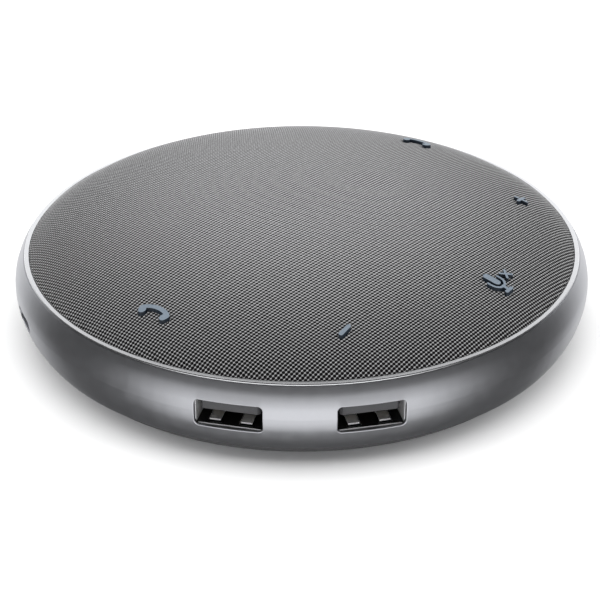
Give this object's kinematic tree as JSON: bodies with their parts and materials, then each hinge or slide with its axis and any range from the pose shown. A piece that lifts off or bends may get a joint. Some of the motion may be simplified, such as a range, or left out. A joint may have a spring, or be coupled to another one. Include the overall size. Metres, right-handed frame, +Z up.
{
  "type": "conference speakerphone",
  "caption": "Low round desk speakerphone: satin metal ring, cloth-covered speaker dome with raised call, volume and mute keys, USB sockets in its side and a rubber foot ring.",
  "frame": {"origin": "on the table under the middle of the foot ring", "axes": "+Z up; the two USB-A sockets face -Y; +X to the right of someone facing them"},
  "size_m": [0.12, 0.12, 0.0252],
  "materials": {
    "satin_aluminium": "bead-blasted and anodised mid grey, satin",
    "polished_trim": "diamond-cut, bright",
    "speaker_cloth": "plain woven mesh, grey with dark gaps",
    "grille_plastic": "matt black moulding",
    "key_rubber": "matt blue-grey silicone",
    "circuit_board": "solder mask",
    "chip_black": "matt epoxy",
    "switch_metal": "plated",
    "frame_plastic": "matt black moulding",
    "speaker_steel": "zinc plated",
    "magnet_black": "nickel plated",
    "coil_copper": "enamelled copper wire",
    "cone_paper": "pressed paper pulp",
    "surround_rubber": "soft matt rubber",
    "foam": "open foam",
    "capacitor_can": "plain can",
    "socket_steel": "nickel plated sheet",
    "socket_plastic": "matt black insulator",
    "contact_gold": "gold plated",
    "cover_plastic": "fine spark texture",
    "foot_rubber": "matt rubber",
    "screw_steel": "black zinc"
  },
  "bodies": {
    "case": {"audio_chip": "chip_black", "board_header": "chip_black", "bottom_cover": "cover_plastic", "capacitors": "capacitor_can", "case_screws": "screw_steel", "driver_screws": "screw_steel", "foot_ring": "foot_rubber", "frame_screws": "screw_steel", "grille_dome": "grille_plastic", "grille_screws": "screw_steel", "housing_ring": "satin_aluminium", "key_board": "circuit_board", "key_switches": "switch_metal", "magnet": "magnet_black", "magnet_cup": "speaker_steel", "main_board": "circuit_board", "microphone_boots": "surround_rubber", "microphones": "switch_metal", "middle_frame": "frame_plastic", "power_coils": "chip_black", "speaker_cloth": "speaker_cloth", "speaker_contacts": "contact_gold", "speaker_frame": "speaker_steel", "speaker_gasket": "foam", "speaker_surround": "surround_rubber", "spider": "cone_paper", "top_plate": "speaker_steel", "trim_ring": "polished_trim", "usb_a_left_contacts": "contact_gold", "usb_a_left_shell": "socket_steel", "usb_a_left_tongue": "socket_plastic", "usb_a_right_contacts": "contact_gold", "usb_a_right_shell": "socket_steel", "usb_a_right_tongue": "socket_plastic", "usb_c_shell": "socket_steel", "usb_c_tongue": "socket_plastic", "usb_hub_chip": "chip_black"},
    "answer_key": {"answer_key": "key_rubber"},
    "volume_down_key": {"volume_down_key": "key_rubber"},
    "mute_key": {"mute_key": "key_rubber"},
    "volume_up_key": {"volume_up_key": "key_rubber"},
    "hang_up_key": {"hang_up_key": "key_rubber"},
    "cone_assembly": {"voice_coil": "coil_copper", "speaker_cone": "cone_paper", "dust_cap": "cone_paper"}
  },
  "joints": [
    {"name": "answer_key_press", "type": "slide", "parent": "case", "child": "answer_key", "axis": [0, 0, -1], "range_m": [0, 0.0004], "stiffness_N_per_m": 2500},
    {"name": "volume_down_key_press", "type": "slide", "parent": "case", "child": "volume_down_key", "axis": [0, 0, -1], "range_m": [0, 0.0004], "stiffness_N_per_m": 2500},
    {"name": "mute_key_press", "type": "slide", "parent": "case", "child": "mute_key", "axis": [0, 0, -1], "range_m": [0, 0.0004], "stiffness_N_per_m": 2500},
    {"name": "volume_up_key_press", "type": "slide", "parent": "case", "child": "volume_up_key", "axis": [0, 0, -1], "range_m": [0, 0.0004], "stiffness_N_per_m": 2500},
    {"name": "hang_up_key_press", "type": "slide", "parent": "case", "child": "hang_up_key", "axis": [0, 0, -1], "range_m": [0, 0.0004], "stiffness_N_per_m": 2500},
    {"name": "cone_travel", "type": "slide", "parent": "case", "child": "cone_assembly", "axis": [0, 0, 1], "range_m": [-0.0005, 0.0005], "stiffness_N_per_m": 1500, "deforming": ["speaker_surround", "spider"]}
  ]
}
